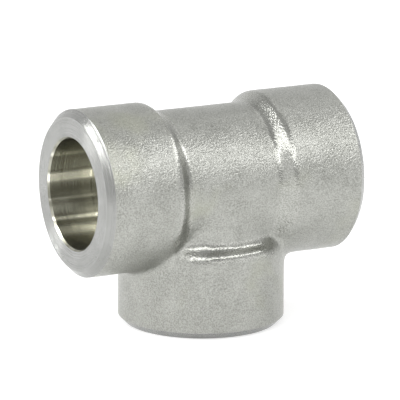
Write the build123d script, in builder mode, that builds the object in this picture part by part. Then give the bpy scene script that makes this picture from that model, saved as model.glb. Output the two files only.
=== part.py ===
"""Forged socket weld tee for half inch (DN 15) pipe: three equal ends, one solid, in millimetres."""

import os

from build123d import *

# The pipe and its fit in the sockets
pipe_diameter = 21.3
pipe_clearance = 0.3

# Lengths along each arm, counted from the point where the three axes cross
centre_to_stop = 19.0
socket_depth = 9.5
collar_length = 15.8
shoulder_length = 3.1

# Bores and walls
flow_diameter = 11.8
collar_wall = 5.65
body_wall = 8.7
branch_step = 0.1

# Forged radii
crotch_radius = 2.5
shoulder_root_radius = 3.0
shoulder_edge_radius = 2.0

# Machined edges
end_chamfer = 1.4
mouth_chamfer = 0.4
stop_corner_chamfer = 0.4
flow_chamfer = 0.3

# Worked out from the sizes above
centre_to_end = centre_to_stop + socket_depth
shoulder_edge = centre_to_end - collar_length
shoulder_root = shoulder_edge - shoulder_length
flow_radius = flow_diameter / 2
socket_radius = pipe_diameter / 2 + pipe_clearance
collar_radius = socket_radius + collar_wall
run_radius = flow_radius + body_wall
branch_radius = run_radius - branch_step

# Each arm lies along its own plane's X axis, and the part stands on the end of the branch
centre = (0, 0, centre_to_end)
left_port = Plane(centre, x_dir=(-1, 0, 0), z_dir=(0, -1, 0))
right_port = Plane(centre, x_dir=(1, 0, 0), z_dir=(0, -1, 0))
branch_port = Plane(centre, x_dir=(0, 0, -1), z_dir=(0, -1, 0))
ports = (left_port, right_port, branch_port)

with BuildPart() as tee_body:
    # The forging: body, sloped shoulder and collar of each arm, turned about the arm's axis
    for port, body_radius in zip(ports, (run_radius, run_radius, branch_radius)):
        with BuildSketch(port) as arm_section:
            with BuildLine():
                Polyline(
                    (0, 0),
                    (0, body_radius),
                    (shoulder_root, body_radius),
                    (shoulder_edge, collar_radius),
                    (centre_to_end, collar_radius),
                    (centre_to_end, 0),
                    close=True,
                )
            make_face()
            root_corner = arm_section.vertices().sort_by_distance((shoulder_root, body_radius))[0]
            fillet(root_corner, shoulder_root_radius)
            edge_corner = arm_section.vertices().sort_by_distance((shoulder_edge, collar_radius))[0]
            fillet(edge_corner, shoulder_edge_radius)
        revolve(axis=Axis(port.origin, port.x_dir))

    # The crotch: the branch was joined last, so its new edges are the crease where the arms meet
    fillet(tee_body.edges(Select.NEW), crotch_radius)

    # The machining: flow bore, pipe stop and socket of each arm, bored about the arm's axis
    for port in ports:
        with BuildSketch(port) as bore_section:
            with BuildLine():
                Polyline(
                    (0, 0),
                    (0, flow_radius),
                    (centre_to_stop, flow_radius),
                    (centre_to_stop, socket_radius),
                    (centre_to_end - mouth_chamfer, socket_radius),
                    (centre_to_end, socket_radius + mouth_chamfer),
                    (centre_to_end, 0),
                    close=True,
                )
            make_face()
            stop_corner = bore_section.vertices().sort_by_distance((centre_to_stop, socket_radius))[0]
            chamfer(stop_corner, stop_corner_chamfer)
            flow_corner = bore_section.vertices().sort_by_distance((centre_to_stop, flow_radius))[0]
            chamfer(flow_corner, flow_chamfer)
        port_axis = Axis(port.origin, port.x_dir)
        revolve(axis=port_axis, mode=Mode.SUBTRACT)
        end_face = tee_body.faces().sort_by(port_axis)[-1]
        chamfer(end_face.outer_wire().edges(), end_chamfer)

os.makedirs("parts", exist_ok=True)
tee_body.part.label = "tee_body"
export_step(tee_body.part, "parts/tee_body.step")
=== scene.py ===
"""Scene of a forged socket weld tee: blasted skin, turned ends and bored sockets on a pale floor."""

import logging
import math
from dataclasses import dataclass
from enum import Enum
from typing import Iterable, Optional, Union

import bpy
from mathutils import Matrix, Vector

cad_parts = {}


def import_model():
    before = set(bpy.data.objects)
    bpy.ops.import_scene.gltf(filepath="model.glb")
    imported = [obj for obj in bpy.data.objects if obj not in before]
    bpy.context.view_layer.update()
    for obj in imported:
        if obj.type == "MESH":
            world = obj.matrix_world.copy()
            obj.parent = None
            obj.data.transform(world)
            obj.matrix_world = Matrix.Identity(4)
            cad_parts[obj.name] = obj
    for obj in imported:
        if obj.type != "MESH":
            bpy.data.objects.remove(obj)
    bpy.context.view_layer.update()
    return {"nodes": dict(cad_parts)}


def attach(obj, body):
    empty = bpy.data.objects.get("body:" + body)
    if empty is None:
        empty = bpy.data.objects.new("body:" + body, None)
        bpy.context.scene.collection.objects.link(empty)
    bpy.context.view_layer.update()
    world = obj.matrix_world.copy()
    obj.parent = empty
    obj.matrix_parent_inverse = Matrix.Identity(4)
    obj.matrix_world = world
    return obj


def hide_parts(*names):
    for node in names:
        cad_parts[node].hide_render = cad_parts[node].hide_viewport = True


LOG = logging.getLogger("tee")
MM = 0.001
WHITE = (1.0, 1.0, 1.0)

# The tee stands on its branch's end, so an arm's length is also the height at which the axes cross
CENTRE_TO_END = 28.5
CROSSING = CENTRE_TO_END * MM

Value = Union["Signal", int, float]
Plug = Union[int, str]
Colour = tuple[float, float, float]
Span = tuple[float, float]
Station = tuple[float, float]
Corner = tuple[float, float, float]


class Way(Enum):
    """Axis that a turned solid lies along."""

    RUN = "run"
    BRANCH = "branch"


def waves(size: float) -> float:
    """Returns how many waves of a size in millimetres fill a metre."""
    return 1.0 / (size * MM)


def bearing(azimuth: float, elevation: float) -> Vector:
    """Finds a direction, as seen from the tee.

    Args:
        azimuth: degrees to the right of the front.
        elevation: degrees above the horizon.

    Returns:
        The direction, one unit long.
    """
    turn, rise = math.radians(azimuth), math.radians(elevation)
    return Vector((math.sin(turn) * math.cos(rise), -math.cos(turn) * math.cos(rise), math.sin(rise)))


# ---- Shader maths


class Signal:
    """One output socket of a node tree, with its maths written as Python expressions."""

    def __init__(self, graph: "Graph", socket: bpy.types.NodeSocket) -> None:
        """Keeps a socket and the graph that it belongs to.

        Args:
            graph: the graph that new Math nodes are added to.
            socket: the output socket.
        """
        self.graph = graph
        self.socket = socket

    def _math(self, operation: str, *values: Value) -> "Signal":
        """Adds one Math node.

        Args:
            operation: the node's operation.
            values: its values, in order.

        Returns:
            The node's output.
        """
        return self.graph.node("ShaderNodeMath", {"operation": operation}, dict(enumerate(values)))

    def __add__(self, other: Value) -> "Signal":
        """Returns the sum with another value."""
        return self._math("ADD", self, other)

    def __radd__(self, other: Value) -> "Signal":
        """Returns the sum with a plain number on the left."""
        return self._math("ADD", other, self)

    def __sub__(self, other: Value) -> "Signal":
        """Returns the difference from another value."""
        return self._math("SUBTRACT", self, other)

    def __rsub__(self, other: Value) -> "Signal":
        """Returns a plain number less this value."""
        return self._math("SUBTRACT", other, self)

    def __mul__(self, other: Value) -> "Signal":
        """Returns the product with another value."""
        return self._math("MULTIPLY", self, other)

    def __rmul__(self, other: Value) -> "Signal":
        """Returns the product with a plain number on the left."""
        return self._math("MULTIPLY", other, self)

    def __truediv__(self, other: Value) -> "Signal":
        """Returns the quotient by another value."""
        return self._math("DIVIDE", self, other)

    def __pow__(self, other: Value) -> "Signal":
        """Returns this value raised to a power."""
        return self._math("POWER", self, other)

    def __abs__(self) -> "Signal":
        """Returns this value without its sign."""
        return self._math("ABSOLUTE", self)

    def hypot(self, other: "Signal") -> "Signal":
        """Returns the distance from an axis, where both values are the legs to it."""
        return (self * self + other * other) ** 0.5

    def band(self, low: float, high: float) -> "Signal":
        """Rises smoothly from 0 to 1 between two values.

        Args:
            low: the value where the rise starts.
            high: the value where it ends.

        Returns:
            The mask, from 0 to 1.
        """
        return self.graph.node(
            "ShaderNodeMapRange",
            {"interpolation_type": "SMOOTHSTEP", "clamp": True},
            {"Value": self, "From Min": low, "From Max": high, "To Min": 0.0, "To Max": 1.0},
        )


class Graph:
    """A node tree under construction."""

    def __init__(self, tree: bpy.types.NodeTree) -> None:
        """Empties the tree.

        Args:
            tree: the tree of a material or of the world.
        """
        self.tree = tree
        tree.nodes.clear()

    def add(
        self,
        kind: str,
        settings: Optional[dict[str, object]] = None,
        inputs: Optional[dict[Plug, object]] = None,
    ) -> bpy.types.Node:
        """Adds a node, sets its options first, and then its sockets' values or links.

        Args:
            kind: the node's type.
            settings: the node's own properties, by name.
            inputs: values, colours or signals, by socket name or number.

        Returns:
            The node.
        """
        made = self.tree.nodes.new(kind)
        for name, value in (settings or {}).items():
            setattr(made, name, value)
        for key, value in (inputs or {}).items():
            plug = made.inputs[key]
            if isinstance(value, Signal):
                self.tree.links.new(value.socket, plug)
            else:
                plug.default_value = (*value, 1.0) if plug.type == "RGBA" else value
        return made

    def node(
        self,
        kind: str,
        settings: Optional[dict[str, object]] = None,
        inputs: Optional[dict[Plug, object]] = None,
        output: Plug = 0,
    ) -> Signal:
        """Adds a node and picks one of its outputs.

        Args:
            kind: the node's type.
            settings: the node's own properties, by name.
            inputs: values, colours or signals, by socket name or number.
            output: name or number of the wanted output.

        Returns:
            The wanted output.
        """
        return Signal(self, self.add(kind, settings, inputs).outputs[output])

    def close(self, kind: str, shader: Signal) -> None:
        """Adds the tree's output node.

        Args:
            kind: the output node's type.
            shader: the shader that it shows.
        """
        self.add(kind, inputs={"Surface": shader})

    def place(self) -> Signal:
        """Returns the Object coordinates, in metres in the part's own frame."""
        return self.node("ShaderNodeTexCoord", output="Object")

    def parts(self, vector: Signal) -> tuple[Signal, Signal, Signal]:
        """Splits a vector.

        Args:
            vector: the vector.

        Returns:
            Its X, Y and Z.
        """
        outputs = self.add("ShaderNodeSeparateXYZ", inputs={0: vector}).outputs
        return Signal(self, outputs[0]), Signal(self, outputs[1]), Signal(self, outputs[2])

    def join(self, x: Value, y: Value, z: Value) -> Signal:
        """Returns a vector made of three values."""
        return self.node("ShaderNodeCombineXYZ", inputs={0: x, 1: y, 2: z})

    def seen(self) -> Signal:
        """Finds what shows in the picture.

        Returns:
            1 where it is seen straight, in a reflection or through glass, and 0 elsewhere.
        """
        outputs = self.add("ShaderNodeLightPath").outputs
        straight, mirrored, through = (
            Signal(self, outputs[name])
            for name in ("Is Camera Ray", "Is Glossy Ray", "Is Transmission Ray")
        )
        return (straight + mirrored + through).band(0.0, 1.0)

    def noise(self, where: Signal, scale: float, detail: float = 2.0, roughness: float = 0.5) -> Signal:
        """Adds a noise pattern.

        Args:
            where: the coordinates.
            scale: waves per metre.
            detail: number of finer octaves.
            roughness: strength of the finer octaves.

        Returns:
            The pattern, about 0.5 in the mean.
        """
        return self.node(
            "ShaderNodeTexNoise",
            {"noise_dimensions": "3D"},
            {"Vector": where, "Scale": scale, "Detail": detail, "Roughness": roughness},
        )

    def lanes(self, across: Signal, scale: float) -> Signal:
        """Adds a pattern of uneven lines side by side, as a tool's feed leaves them.

        Args:
            across: the distance that the lines are counted along.
            scale: lines per metre.

        Returns:
            The pattern, about 0.5 in the mean.
        """
        return self.node(
            "ShaderNodeTexNoise",
            {"noise_dimensions": "1D"},
            {"W": across, "Scale": scale, "Detail": 3.0},
        )

    def pebble(self, where: Signal, scale: float, softness: float) -> Signal:
        """Adds a smooth cell pattern.

        Args:
            where: the coordinates.
            scale: cells per metre.
            softness: how far the cells melt together.

        Returns:
            The distance from the nearest cell's centre, in cells.
        """
        return self.node(
            "ShaderNodeTexVoronoi",
            {"feature": "SMOOTH_F1", "voronoi_dimensions": "3D"},
            {"Vector": where, "Scale": scale, "Smoothness": softness},
        )

    def tint(self, amount: Value, first: Union[Signal, Colour], second: Colour) -> Signal:
        """Mixes two colours.

        Args:
            amount: share of the second colour.
            first: first colour.
            second: second colour.

        Returns:
            The mixed colour.
        """
        colours = {0: amount, 6: first, 7: second}
        return self.node("ShaderNodeMix", {"data_type": "RGBA"}, colours, 2)

    def bump(
        self,
        height: Signal,
        depth: float,
        strength: float = 1.0,
        under: Optional[Signal] = None,
    ) -> Signal:
        """Adds a Bump node.

        Args:
            height: the pattern, from 0 to 1.
            depth: what a height of 1 stands for, in metres.
            strength: share of the full effect.
            under: normal of a coarser bump below this one.

        Returns:
            The bent normal.
        """
        inputs = {"Height": height, "Distance": depth, "Strength": strength}
        if under is not None:
            inputs["Normal"] = under
        return self.node("ShaderNodeBump", inputs=inputs)

    def lean(self, across: tuple[Value, Value, Value]) -> Signal:
        """Leans the surface's normal, as fine tool marks do.

        Args:
            across: what is added to the unit normal along X, Y and Z.

        Returns:
            The leaning normal.
        """
        normal = self.node("ShaderNodeNewGeometry", output="Normal")
        bent = self.node("ShaderNodeVectorMath", {"operation": "ADD"}, {0: normal, 1: self.join(*across)})
        return self.node("ShaderNodeVectorMath", {"operation": "NORMALIZE"}, {0: bent})

    def metal(self, colour: Signal, roughness: Value, normal: Signal) -> None:
        """Closes the tree with a metal shader.

        Args:
            colour: the metal's colour.
            roughness: its roughness.
            normal: its bent normal.
        """
        inputs = {"Base Color": colour, "Metallic": 1.0, "Roughness": roughness, "Normal": normal}
        self.close("ShaderNodeOutputMaterial", self.node("ShaderNodeBsdfPrincipled", inputs=inputs))


def bare_material(name: str) -> tuple[bpy.types.Material, Graph]:
    """Adds a material with an empty node tree.

    Args:
        name: the material's name.

    Returns:
        The material and its graph.
    """
    material = bpy.data.materials.new(name)
    material.use_nodes = True
    return material, Graph(material.node_tree)


# ---- Finishes: sizes in millimetres, and scales in waves per metre


@dataclass(frozen=True)
class BlastedSkin:
    """Shot blasted forging skin: pebbled grain, glints, faint warm stains and rubbed shoulders."""

    name: str = "blasted_skin"
    grain: float = 0.34
    grain_roughness: float = 0.55
    grain_depth: float = 0.15
    pit: float = 0.45
    pit_softness: float = 0.8
    pit_depth: float = 0.05
    pit_strength: float = 0.7
    speck: float = 0.26
    swell: float = 5.0
    shade: Colour = (0.27, 0.274, 0.25)
    bright: Colour = (0.48, 0.484, 0.455)
    tone_band: Span = (0.3, 0.7)
    speck_share: float = 0.75
    stain: float = 14.0
    stain_detail: float = 3.0
    stain_colour: Colour = (0.40, 0.41, 0.32)
    stain_band: Span = (0.56, 0.74)
    stain_share: float = 0.45
    roughness: float = 0.34
    swell_roughness: float = 0.10
    pit_roughness: float = 0.12
    rubbed_roughness: float = 0.24
    rubbed_grain: float = 0.62
    rubbed_from: float = 9.4
    rubbed_to: float = 13.2
    rubbed_ease: float = 0.7

    def rubbed(self, graph: Graph, where: Signal) -> Signal:
        """Finds the shoulders, where the dies have rubbed the skin smooth.

        Args:
            graph: the material's graph.
            where: the place on the piece.

        Returns:
            1 on the shoulders, and 0 elsewhere and where two of them meet.
        """
        x, _, z = graph.parts(where)
        run, branch = abs(x), CROSSING - z
        first, last, ease = self.rubbed_from * MM, self.rubbed_to * MM, self.rubbed_ease * MM
        on_run, on_branch = (arm.band(first - ease, first + ease) for arm in (run, branch))
        run_past, branch_past = (arm.band(last - ease, last + ease) for arm in (run, branch))
        along_run = on_run * (1.0 - run_past) * (1.0 - on_branch)
        along_branch = on_branch * (1.0 - branch_past) * (1.0 - on_run)
        return (along_run + along_branch).band(0.0, 1.0)

    def make(self) -> bpy.types.Material:
        """Builds the material.

        Returns:
            The material.
        """
        material, graph = bare_material(self.name)
        where = graph.place()
        grain = graph.noise(where, waves(self.grain), roughness=self.grain_roughness)
        pits = graph.pebble(where, waves(self.pit), self.pit_softness)
        specks = graph.noise(where, waves(self.speck))
        swell = graph.noise(where, waves(self.swell))
        stains = graph.noise(where, waves(self.stain), self.stain_detail)
        rubbed = self.rubbed(graph, where)

        glints = self.speck_share * specks.band(*self.tone_band)
        tone = glints + (1.0 - self.speck_share) * swell.band(*self.tone_band)
        colour = graph.tint(tone, self.shade, self.bright)
        colour = graph.tint(self.stain_share * stains.band(*self.stain_band), colour, self.stain_colour)

        smoothed = grain * (1.0 - rubbed * self.rubbed_grain)
        normal = graph.bump(smoothed, self.grain_depth * MM)
        normal = graph.bump(pits, self.pit_depth * MM, self.pit_strength, normal)

        uneven = (swell - 0.5) * self.swell_roughness + (pits - 0.5) * self.pit_roughness
        roughness = self.roughness + uneven - rubbed * (self.roughness - self.rubbed_roughness)
        graph.metal(colour, roughness, normal)
        return material


@dataclass(frozen=True)
class PortFinish:
    """Base of the finishes that a tool leaves as it turns about the run's or the branch's axis."""

    way: Way

    def order(self, along: Value, beside: Value, across: Value) -> tuple[Value, Value, Value]:
        """Swaps X and Z for the branch, so that it turns axis order into XYZ order and back.

        Args:
            along: X, or the value along the axis.
            beside: Y, which lies beside either axis.
            across: Z, or the value across the axis.

        Returns:
            The three values in the other order.
        """
        return (along, beside, across) if self.way is Way.RUN else (across, beside, along)

    def off_axis(self, across: Signal) -> Signal:
        """Returns the distance across the axis, counted from the axis itself."""
        return across - CROSSING if self.way is Way.RUN else across


@dataclass(frozen=True)
class TurnedFace(PortFinish):
    """Turned end face and chamfer: fine rings about the port's axis, bright and slightly worn."""

    ring: float = 0.05
    slope: float = 3.8
    blur_scale: float = 700.0
    blur_share: float = 0.15
    colour: Colour = (0.345, 0.349, 0.337)
    dull: Colour = (0.285, 0.288, 0.276)
    ring_band: Span = (0.4, 0.7)
    smear_scale: float = 160.0
    smear_detail: float = 3.0
    smear_band: Span = (0.35, 0.7)
    smear_share: float = 0.7
    roughness: float = 0.24
    smear_roughness: float = 0.16

    def make(self) -> bpy.types.Material:
        """Builds the material.

        Returns:
            The material.
        """
        material, graph = bare_material("turned_" + self.way.value)
        where = graph.place()
        _, beside, across = self.order(*graph.parts(where))
        across = self.off_axis(across)
        radius = beside.hypot(across)
        rings = graph.lanes(radius, waves(self.ring))
        blur = graph.noise(where, self.blur_scale)
        smear = graph.noise(where, self.smear_scale, self.smear_detail)

        worn = smear.band(*self.smear_band) * self.smear_share
        worn = worn + rings.band(*self.ring_band) * (1.0 - self.smear_share)
        colour = graph.tint(worn, self.colour, self.dull)

        lift = (rings + (blur - 0.5) * self.blur_share - 0.5) * self.slope / radius
        normal = graph.lean(self.order(0.0, beside * lift, across * lift))
        graph.metal(colour, self.roughness + (smear - 0.5) * self.smear_roughness, normal)
        return material


@dataclass(frozen=True)
class PaintedReflection:
    """Painted reflection: a bright line along a socket's wall, placed by its distance above or beside the
    axis.
    """

    place: float
    width: float
    strength: float


@dataclass(frozen=True)
class BoredWall(PortFinish):
    """Bored socket and flow bore: fine feed lines round the bore, and bright reflection lines and streaks
    painted along the socket's wall.
    """

    feed: float = 0.035
    slope: float = 2.0
    blur_scale: float = 500.0
    blur_share: float = 0.1
    # colour is the bright colour of the painted reflections, and dull is the wall between them
    colour: Colour = (0.90, 0.89, 0.79)
    dull: Colour = (0.25, 0.247, 0.20)
    plain: float = 0.35
    # Random painted reflection streaks along the bore, and how far they are drawn out along it
    streak: float = 4.2
    streak_band: Span = (0.40, 0.60)
    streak_share: float = 0.3
    drawn: float = 0.05
    # Painted reflections of bright bands at listed places, widths and strengths, in millimetres
    marks: tuple[PaintedReflection, ...] = (
        PaintedReflection(1.0, 1.4, 1.0),
        PaintedReflection(-3.4, 0.6, 0.4),
        PaintedReflection(-6.9, 0.6, 0.8),
        PaintedReflection(-8.9, 1.4, 0.8),
        PaintedReflection(6.0, 0.9, 0.4),
    )
    wall_from: float = 10.5
    wall_full: float = 10.8
    roughness: float = 0.24
    smear_scale: float = 140.0
    smear_detail: float = 3.0
    smear_roughness: float = 0.14

    def painted_reflections(self, graph: Graph, place: tuple[Signal, Signal, Signal]) -> Signal:
        """Finds how bright the painted reflections on the wall are.

        Args:
            graph: the material's graph.
            place: the place on the piece, in axis order.

        Returns:
            1 on the painted reflection lines, less where painted reflection streaks run on the socket's wall
            beside them, and an even tone in the flow bore.
        """
        along, beside, across = place
        drawn = graph.join(*self.order(along * self.drawn, beside, across))
        # Painted reflection streaks, drawn out along the bore
        streaks = graph.noise(drawn, waves(self.streak))
        reflection_paint = (1.0 - streaks.band(*self.streak_band)) * self.streak_share
        across = self.off_axis(across)
        # Painted reflection lines at listed places
        for mark in self.marks:
            off = abs(across - mark.place * MM)
            reflection_paint = reflection_paint + (1.0 - off.band(0.0, mark.width * MM)) * mark.strength
        wall = beside.hypot(across).band(self.wall_from * MM, self.wall_full * MM)
        return reflection_paint.band(0.0, 1.0) * wall + (1.0 - wall) * self.plain

    def make(self) -> bpy.types.Material:
        """Builds the material.

        Returns:
            The material.
        """
        material, graph = bare_material("bored_" + self.way.value)
        where = graph.place()
        place = self.order(*graph.parts(where))
        feed = graph.lanes(place[0], waves(self.feed))
        blur = graph.noise(where, self.blur_scale)
        smear = graph.noise(where, self.smear_scale, self.smear_detail)
        # The painted reflections lighten the wall's base colour
        colour = graph.tint(self.painted_reflections(graph, place), self.dull, self.colour)
        lift = (feed + (blur - 0.5) * self.blur_share - 0.5) * self.slope
        normal = graph.lean(self.order(lift, 0.0, 0.0))
        graph.metal(colour, self.roughness + (smear - 0.5) * self.smear_roughness, normal)
        return material


# ---- Hand work in edit mode


def deselect() -> None:
    """Leaves object mode with nothing selected."""
    if bpy.context.object is not None and bpy.context.object.mode != "OBJECT":
        bpy.ops.object.mode_set(mode="OBJECT")
    bpy.ops.object.select_all(action="DESELECT")


def pick(piece: bpy.types.Object) -> None:
    """Makes one object the only selected one, and active.

    Args:
        piece: the object.
    """
    deselect()
    piece.select_set(True)
    bpy.context.view_layer.objects.active = piece


def apply(piece: bpy.types.Object, kind: str, **settings: object) -> None:
    """Adds a modifier and applies it.

    Args:
        piece: the object.
        kind: the modifier's type.
        settings: the modifier's properties.
    """
    pick(piece)
    modifier = piece.modifiers.new(kind.lower(), kind)
    for name, value in settings.items():
        setattr(modifier, name, value)
    bpy.ops.object.modifier_apply(modifier=modifier.name)


def triangles(piece: bpy.types.Object) -> int:
    """Returns the number of triangles of a mesh."""
    piece.data.calc_loop_triangles()
    return len(piece.data.loop_triangles)


def rounded(corners: Iterable[Corner], steps: int) -> list[Station]:
    """Rounds the corners of a profile with arcs.

    Args:
        corners: place along the axis, radius, and corner radius of each corner, in millimetres.
        steps: number of chords of each arc.

    Returns:
        The profile's points, in millimetres.
    """
    bends = [(Vector((along, radius)), fillet) for along, radius, fillet in corners]
    points = []
    for i, (corner, fillet) in enumerate(bends):
        if not fillet or i in (0, len(bends) - 1):
            points.append(tuple(corner))
            continue
        back = (bends[i - 1][0] - corner).normalized()
        ahead = (bends[i + 1][0] - corner).normalized()
        half = back.angle(ahead) / 2
        reach = fillet / math.tan(half)
        centre = corner + (back + ahead).normalized() * (fillet / math.sin(half))
        first = corner + back * reach - centre
        last = corner + ahead * reach - centre
        for k in range(steps + 1):
            spoke = first.lerp(last, k / steps).normalized() * fillet
            points.append(tuple(centre + spoke))
    return points


def turned(name: str, way: Way, profile: list[Station], sides: int) -> bpy.types.Object:
    """Turns a closed solid, one drawn out ring at a time, and lays it along its axis.

    Args:
        name: the object's name.
        way: the axis that it lies along; the branch's points down.
        profile: place along the axis and radius of each ring, in millimetres from the crossing.
        sides: number of sides of each ring.

    Returns:
        The solid, with its place in its mesh.
    """
    deselect()
    start, radius = profile[0]
    bpy.ops.mesh.primitive_circle_add(
        vertices=sides,
        radius=radius * MM,
        fill_type="NGON",
        enter_editmode=True,
        location=(0.0, 0.0, start * MM),
    )
    bpy.ops.mesh.select_all(action="SELECT")
    for (here, old), (there, new) in zip(profile, profile[1:]):
        step = (0.0, 0.0, (there - here) * MM)
        bpy.ops.mesh.extrude_region_move(TRANSFORM_OT_translate={"value": step})
        if new != old:
            share = new / old
            bpy.ops.transform.resize(value=(share, share, 1.0), center_override=(0.0, 0.0, there * MM))
    bpy.ops.mesh.select_all(action="SELECT")
    bpy.ops.mesh.normals_make_consistent(inside=False)
    bpy.ops.object.mode_set(mode="OBJECT")
    piece = bpy.context.object
    piece.name = name
    if way is Way.RUN:
        turn = Matrix.Rotation(math.radians(90.0), 4, "Y")
    else:
        turn = Matrix.Rotation(math.pi, 4, "X")
    piece.matrix_world = Matrix.Translation((0.0, 0.0, CROSSING)) @ turn @ piece.matrix_world
    bpy.ops.object.transform_apply(location=True, rotation=True, scale=True)
    return piece


def cut(piece: bpy.types.Object, tool: bpy.types.Object, operation: str) -> None:
    """Joins or cuts two solids, and removes the second.

    Args:
        piece: the solid that stays.
        tool: the solid that is joined to it or cut from it.
        operation: UNION or DIFFERENCE.
    """
    apply(piece, "BOOLEAN", operation=operation, solver="EXACT", object=tool, material_mode="TRANSFER")
    mesh = tool.data
    bpy.data.objects.remove(tool)
    bpy.data.meshes.remove(mesh)


# ---- The tee


@dataclass(frozen=True)
class DentLayer:
    """One size of the dents that shot leaves: its wave and its depth, in millimetres."""

    name: str
    size: float
    depth: float


@dataclass
class Tee:
    """The tee as it is made: forged from two bars, blasted, then faced, chamfered and bored.

    Lengths are millimetres, and those along an arm start at the point where the three axes cross.
    """

    centre_to_end: float = CENTRE_TO_END
    centre_to_stop: float = 19.0
    collar_radius: float = 16.6
    body_radius: float = 14.6
    branch_step: float = 0.1
    shoulder_edge: float = 12.5
    shoulder_root: float = 10.0
    edge_radius: float = 1.5
    root_radius: float = 2.2
    branch_edge: float = 11.7
    branch_root: float = 10.7
    branch_corner: float = 1.1
    socket_radius: float = 10.95
    flow_radius: float = 5.9
    end_chamfer: float = 1.4
    mouth_chamfer: float = 0.4
    flow_chamfer: float = 0.3
    edge_break: float = 0.12

    # Stock that is turned away, and how far the tools reach past the metal
    facing_stock: float = 0.8
    overcut: float = 1.2
    run_out: float = 2.0
    drill_tip: float = 3.4
    drill_point: float = 0.05

    # Fineness of the blank, of the tools and of their rounded corners
    blank_sides: int = 180
    blank_steps: int = 5
    tool_sides: int = 240
    tool_steps: int = 3
    grain: float = 0.36
    weld: float = 0.002
    sharp_angle: float = 32.0

    # Smoothing of the whole skin and of the crotches, and the dents of the blasting
    smoothing: float = 0.5
    skin_passes: int = 3
    crotch_passes: int = 110
    crotch_reach: float = 4.5
    dents: tuple[DentLayer, ...] = (DentLayer("swell", 3.0, 0.06), DentLayer("dents", 1.0, 0.015))

    def arm(self, body: float, way: Way) -> list[Corner]:
        """Profile of one forged arm, from the crossing out.

        Args:
            body: radius of the body.
            way: the axis that the arm lies along.

        Returns:
            Place, radius and corner radius of each corner.
        """
        if way is Way.RUN:
            root, inner = self.shoulder_root, self.root_radius
            edge, outer = self.shoulder_edge, self.edge_radius
        else:
            root, inner = self.branch_root, self.branch_corner
            edge, outer = self.branch_edge, self.branch_corner
        return [
            (root, body, inner),
            (edge, self.collar_radius, outer),
            (self.centre_to_end + self.facing_stock, self.collar_radius, 0.0),
        ]

    def forge(self) -> bpy.types.Object:
        """Forges the blank: run and branch as one body, with blended crotches and a blasted skin.

        Returns:
            The blank, with a closed skin and no bores.
        """
        right = self.arm(self.body_radius, Way.RUN)
        left = [(-along, radius, corner) for along, radius, corner in reversed(right)]
        neck = self.body_radius - self.branch_step
        down = [(0.0, neck, 0.0), *self.arm(neck, Way.BRANCH)]
        run = turned("tee_forged", Way.RUN, rounded(left + right, self.blank_steps), self.blank_sides)
        branch = turned("branch_blank", Way.BRANCH, rounded(down, self.blank_steps), self.blank_sides)
        cut(run, branch, "UNION")
        LOG.info("blank joined: %d triangles", triangles(run))
        apply(run, "REMESH", mode="VOXEL", voxel_size=self.grain * MM, adaptivity=0.0)
        apply(run, "SMOOTH", factor=self.smoothing, iterations=self.skin_passes)
        self.blend_crotch(run)
        self.blast(run)
        LOG.info("blank blasted: %d triangles", triangles(run))
        return run

    def blend_crotch(self, blank: bpy.types.Object) -> None:
        """Smooths the crease where the branch leaves the run, less and less away from it.

        Args:
            blank: the joined blank.
        """
        group = blank.vertex_groups.new(name="crotch")
        reach = self.crotch_reach * MM
        for vertex in blank.data.vertices:
            drop = CROSSING - vertex.co.z
            off = abs(abs(vertex.co.x) - drop) / math.sqrt(2.0)
            if drop > 0.0 and off < reach:
                ease = 1.0 - off / reach
                group.add([vertex.index], min(1.0, 2.0 * ease), "REPLACE")
        apply(
            blank,
            "SMOOTH",
            factor=self.smoothing,
            iterations=self.crotch_passes,
            vertex_group=group.name,
        )

    def blast(self, blank: bpy.types.Object) -> None:
        """Dents the skin, only ever inwards, as shot does.

        Args:
            blank: the blended blank.
        """
        for layer in self.dents:
            pattern = bpy.data.textures.new(layer.name, "CLOUDS")
            pattern.noise_scale = layer.size * MM
            pattern.noise_depth = 1
            apply(
                blank,
                "DISPLACE",
                texture=pattern,
                texture_coords="LOCAL",
                direction="NORMAL",
                strength=layer.depth * MM,
                mid_level=1.0,
            )

    def tool_profile(self) -> list[Corner]:
        """Profile of the tool that faces, chamfers and bores one end, from outside in to the crossing.

        Returns:
            Place, radius and corner radius of each corner.
        """
        end, stop = self.centre_to_end, self.centre_to_stop
        outside = self.collar_radius + self.overcut
        return [
            (end + self.run_out, outside, 0.0),
            (end - self.end_chamfer - self.overcut, outside, 0.0),
            (end, self.collar_radius - self.end_chamfer, self.edge_break),
            (end, self.socket_radius + self.mouth_chamfer, self.edge_break),
            (end - self.mouth_chamfer, self.socket_radius, self.edge_break),
            (stop, self.socket_radius, 0.0),
            (stop, self.flow_radius + self.flow_chamfer, 0.0),
            (stop - self.flow_chamfer, self.flow_radius, 0.0),
            (0.0, self.flow_radius, 0.0),
        ]

    def machine(self, blank: bpy.types.Object) -> None:
        """Faces, chamfers and bores the three ends, the run's two with one tool.

        Args:
            blank: the forged blank.
        """
        drill = rounded(self.tool_profile(), self.tool_steps)
        right = drill[:-1]
        through = right + [(-along, radius) for along, radius in reversed(right)]
        drill.append((-self.drill_tip, self.drill_point))
        for way, profile in ((Way.RUN, through), (Way.BRANCH, drill)):
            tool = turned("boring_" + way.value, way, profile, self.tool_sides)
            self.dress_tool(tool, way)
            cut(blank, tool, "DIFFERENCE")
            LOG.info("%s machined: %d triangles", way.value, triangles(blank))

    def dress_tool(self, tool: bpy.types.Object, way: Way) -> None:
        """Gives the tool the finishes that it leaves behind: turned outside, bored inside.

        Args:
            tool: the facing and boring tool.
            way: the axis that it lies along.
        """
        for finish in (TurnedFace(way), BoredWall(way)):
            tool.data.materials.append(finish.make())
        edge = self.socket_radius + self.mouth_chamfer * 0.5
        for face in tool.data.polygons:
            across = face.center.z - CROSSING if way is Way.RUN else face.center.x
            face.material_index = int(math.hypot(face.center.y, across) < edge * MM)

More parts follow.
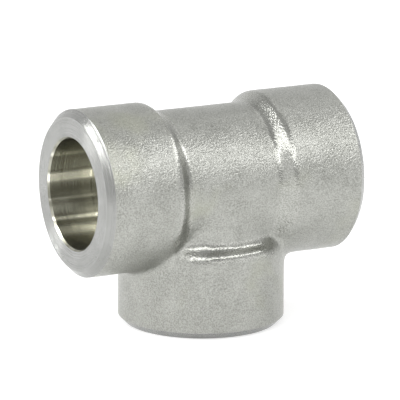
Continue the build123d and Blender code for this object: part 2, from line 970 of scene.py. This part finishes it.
    def build(self) -> bpy.types.Object:
        """Makes and dresses the whole tee.

        Returns:
            The finished piece.
        """
        tee = self.forge()
        tee.vertex_groups.clear()
        tee.data.materials.clear()
        tee.data.materials.append(BlastedSkin().make())
        self.machine(tee)
        pick(tee)
        bpy.ops.object.mode_set(mode="EDIT")
        bpy.ops.mesh.select_all(action="SELECT")
        bpy.ops.mesh.remove_doubles(threshold=self.weld * MM)
        bpy.ops.mesh.normals_make_consistent(inside=False)
        bpy.ops.object.mode_set(mode="OBJECT")
        bpy.ops.object.shade_smooth_by_angle(angle=math.radians(self.sharp_angle))
        return tee


# ---- The studio


@dataclass(frozen=True)
class SoftBox:
    """Lamp that faces the tee: bearing in degrees, distance and size in metres, power in watts."""

    name: str
    azimuth: float
    elevation: float
    reach: float
    width: float
    height: float
    watts: float

    def hang(self, aim: Vector) -> None:
        """Adds the lamp to the scene.

        Args:
            aim: the point that it faces.
        """
        lamp = bpy.data.lights.new(self.name, "AREA")
        lamp.shape = "RECTANGLE"
        lamp.size, lamp.size_y = self.width, self.height
        lamp.energy = self.watts
        way = bearing(self.azimuth, self.elevation)
        facing = way.to_track_quat("Z", "Y").to_matrix().to_4x4()
        holder = bpy.data.objects.new(self.name, lamp)
        holder.matrix_world = Matrix.Translation(aim + way * self.reach) @ facing
        bpy.context.scene.collection.objects.link(holder)


@dataclass
class Studio:
    """Pale floor, white surround, soft boxes and the camera of the photograph."""

    # The camera: angles in degrees, and pixels per millimetre at the crossing
    azimuth: float = -27.8134
    elevation: float = 13.7615
    roll: float = 0.3809
    distance: float = 818.6113 * MM
    scale: float = 5.0381
    aim_right: float = -0.2805 * MM
    aim_up: float = -4.2254 * MM
    image: float = 400.0
    sensor: float = 36.0
    clip: Span = (0.01, 20.0)

    # The surround: 1 is white, the fill lights dull surfaces, and each band is where a side turns greyer
    fill: float = 0.58
    ceiling: float = 0.6
    ceiling_band: Span = (0.25, 0.8)
    front: float = 0.4
    front_way: tuple[float, float, float] = (-0.15, -0.98, 0.08)
    front_band: Span = (0.88, 0.985)
    right: float = 0.75
    right_band: Span = (0.4, 1.0)

    # The floor: its side in metres, and the radii in millimetres over which its white lift fades in, leaving
    # a painted shadow under the tee
    floor_size: float = 12.0
    floor_colour: Colour = (0.6, 0.6, 0.6)
    floor_lift: float = 0.55
    painted_shadow_span: Span = (9.0, 17.0)

    # The lamps, which face a point at this share of the crossing's height
    lamp_aim: float = 0.8
    lamps: tuple[SoftBox, ...] = (
        SoftBox("key", 42.0, 42.0, 0.6, 1.5, 0.14, 2.3),
        SoftBox("side", -114.0, 35.0, 0.6, 0.3, 0.3, 2.5),
        SoftBox("left", -60.0, 43.0, 0.6, 1.0, 0.13, 1.6),
        SoftBox("top", 120.0, 60.0, 0.8, 0.5, 0.5, 0.5),
    )

    def camera(self) -> bpy.types.Object:
        """Places the camera.

        Returns:
            The camera.
        """
        turn = math.radians(self.azimuth)
        back = bearing(self.azimuth, self.elevation)
        right = Vector((math.cos(turn), math.sin(turn), 0.0))
        up = back.cross(right)
        spin = Matrix.Rotation(math.radians(self.roll), 3, back)
        axes = Matrix((spin @ right, spin @ up, back)).transposed()
        aim = Vector((0.0, 0.0, CROSSING + self.aim_up)) + right * self.aim_right
        lens = bpy.data.cameras.new("camera")
        lens.sensor_width = self.sensor
        lens.lens = self.scale * self.distance / MM / self.image * self.sensor
        lens.clip_start, lens.clip_end = self.clip
        camera = bpy.data.objects.new("camera", lens)
        camera.matrix_world = Matrix.Translation(aim + back * self.distance) @ axes.to_4x4()
        bpy.context.scene.collection.objects.link(camera)
        bpy.context.scene.camera = camera
        return camera

    def world(self) -> None:
        """Makes the surround: a white backdrop, greyer above, in front and on the right, and the fill."""
        world = bpy.data.worlds.new("surround")
        world.use_nodes = True
        graph = Graph(world.node_tree)
        across, away, rise = graph.parts(graph.node("ShaderNodeTexCoord", output="Generated"))
        x, y, z = self.front_way
        forwards = across * x + away * y + rise * z
        backdrop = (
            (1.0 - rise.band(*self.ceiling_band) * (1.0 - self.ceiling))
            * (1.0 - forwards.band(*self.front_band) * (1.0 - self.front))
            * (1.0 - across.band(*self.right_band) * (1.0 - self.right))
        )
        strength = graph.seen() * (backdrop - self.fill) + self.fill
        light = graph.node("ShaderNodeBackground", inputs={"Color": WHITE, "Strength": strength})
        graph.close("ShaderNodeOutputWorld", light)
        bpy.context.scene.world = world

    def floor(self) -> bpy.types.Object:
        """Lays the pale floor, which is lifted to white where it is seen, save under the tee, where the lift
        is left off as a painted shadow.

        Returns:
            The floor.
        """
        deselect()
        bpy.ops.mesh.primitive_plane_add(size=self.floor_size, location=(0.0, 0.0, 0.0))
        floor = bpy.context.object
        floor.name = "floor"
        material, graph = bare_material("pale_floor")
        x, y, _ = graph.parts(graph.place())
        # Near the branch's axis the lift is left off: a painted shadow under the tee
        near, far = self.painted_shadow_span
        lift = graph.seen() * x.hypot(y).band(near * MM, far * MM) * self.floor_lift
        paint = graph.node("ShaderNodeBsdfDiffuse", inputs={"Color": self.floor_colour})
        glow = graph.node("ShaderNodeEmission", inputs={"Color": WHITE, "Strength": lift})
        graph.close("ShaderNodeOutputMaterial", graph.node("ShaderNodeAddShader", inputs={0: paint, 1: glow}))
        floor.data.materials.append(material)
        return floor

    def build(self) -> None:
        """Sets up camera, surround, floor and lamps."""
        self.camera()
        self.world()
        self.floor()
        for lamp in self.lamps:
            lamp.hang(Vector((0.0, 0.0, CROSSING * self.lamp_aim)))
        bpy.context.scene.view_settings.view_transform = "Standard"


def main() -> None:
    """Loads the frame, builds the tee and the studio, and logs what was made."""
    logging.basicConfig(level=logging.INFO, format="%(name)s: %(message)s")
    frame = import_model()
    LOG.info("frame loaded: %s", ", ".join(sorted(frame["nodes"])))
    Studio().build()
    LOG.info("studio set up")
    tee = Tee().build()
    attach(tee, "root")
    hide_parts("tee_body")
    LOG.info("tee made: %d triangles", triangles(tee))


if __name__ == "__main__":
    main()
